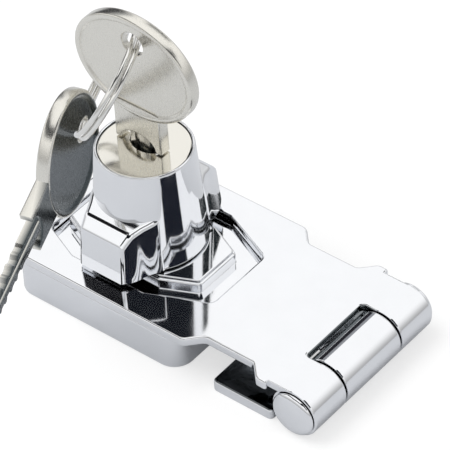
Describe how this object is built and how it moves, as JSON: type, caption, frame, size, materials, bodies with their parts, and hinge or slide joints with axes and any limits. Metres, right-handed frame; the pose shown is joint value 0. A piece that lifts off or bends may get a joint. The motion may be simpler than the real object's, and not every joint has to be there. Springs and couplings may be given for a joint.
{
  "type": "locking_hasp",
  "caption": "chromed locking hasp: slotted hinged leaf over a staple, conical twist knob with two finger wings and a key plug, key and spare on a split ring",
  "frame": {"origin": "middle of the staple's free-end foot, on the mounting plane", "axes": "+X from the hasp's free end to its hinge, +Y across it, +Z away from the door"},
  "size_m": [0.0654, 0.058, 0.0561],
  "materials": {
    "chrome": "polished",
    "nickel": "satin",
    "steel": "satin",
    "brass": "satin"
  },
  "bodies": {
    "base": {"staple_base": "chrome", "hasp_leaf": "chrome", "hinge_pin": "chrome", "pin_cap": "chrome"},
    "fixed_leaf": {"fixed_leaf": "chrome"},
    "knob": {"knob_body": "chrome", "plug_retaining_pin": "steel", "retaining_washer": "steel", "retaining_clip": "steel"},
    "plug": {"plug": "nickel", "wafer_1": "brass", "wafer_2": "brass", "wafer_3": "brass", "wafer_4": "brass", "wafer_5": "brass", "wafer_spring_1": "steel", "wafer_spring_2": "steel", "wafer_spring_3": "steel", "wafer_spring_4": "steel", "wafer_spring_5": "steel"},
    "bolt": {"locking_bolt": "steel"},
    "key": {"key": "nickel"},
    "ring": {"key_ring": "steel"},
    "spare_key": {"spare_key": "nickel"}
  },
  "joints": [
    {"name": "leaf_hinge", "type": "hinge", "parent": "base", "child": "fixed_leaf", "pos_m": [0.0578, 0, 0.0044], "axis": [0, -1, 0], "range_deg": [0, 180]},
    {"name": "knob_turn", "type": "hinge", "parent": "base", "child": "knob", "pos_m": [0.0161, 0, 0.0096], "axis": [0, 0, 1], "range_deg": [-90, 0]},
    {"name": "plug_turn", "type": "hinge", "parent": "knob", "child": "plug", "pos_m": [0.0161, 0, 0.0056], "axis": [0, 0, 1], "range_deg": [-90, 0]},
    {"name": "bolt_slide", "type": "slide", "parent": "knob", "child": "bolt", "axis": [1, 0, 0], "range_m": [0, 0.0023]},
    {"name": "key_withdraw", "type": "slide", "parent": "plug", "child": "key", "axis": [0, 0, 1], "range_m": [0, 0.018]},
    {"name": "ring_swing", "type": "hinge", "parent": "key", "child": "ring", "pos_m": [0.0161, 0.0005, 0.0504], "axis": [0, 1, 0], "range_deg": [0, 30]},
    {"name": "spare_key_swing", "type": "hinge", "parent": "ring", "child": "spare_key", "pos_m": [0.00845, -0.00615, 0.03349], "axis": [0.944, 0.308, -0.118], "range_deg": [0, 30]}
  ],
  "couplings": [
    {"joint": "bolt_slide", "follows": "plug_turn", "m_per_rad": -0.0014006}
  ]
}
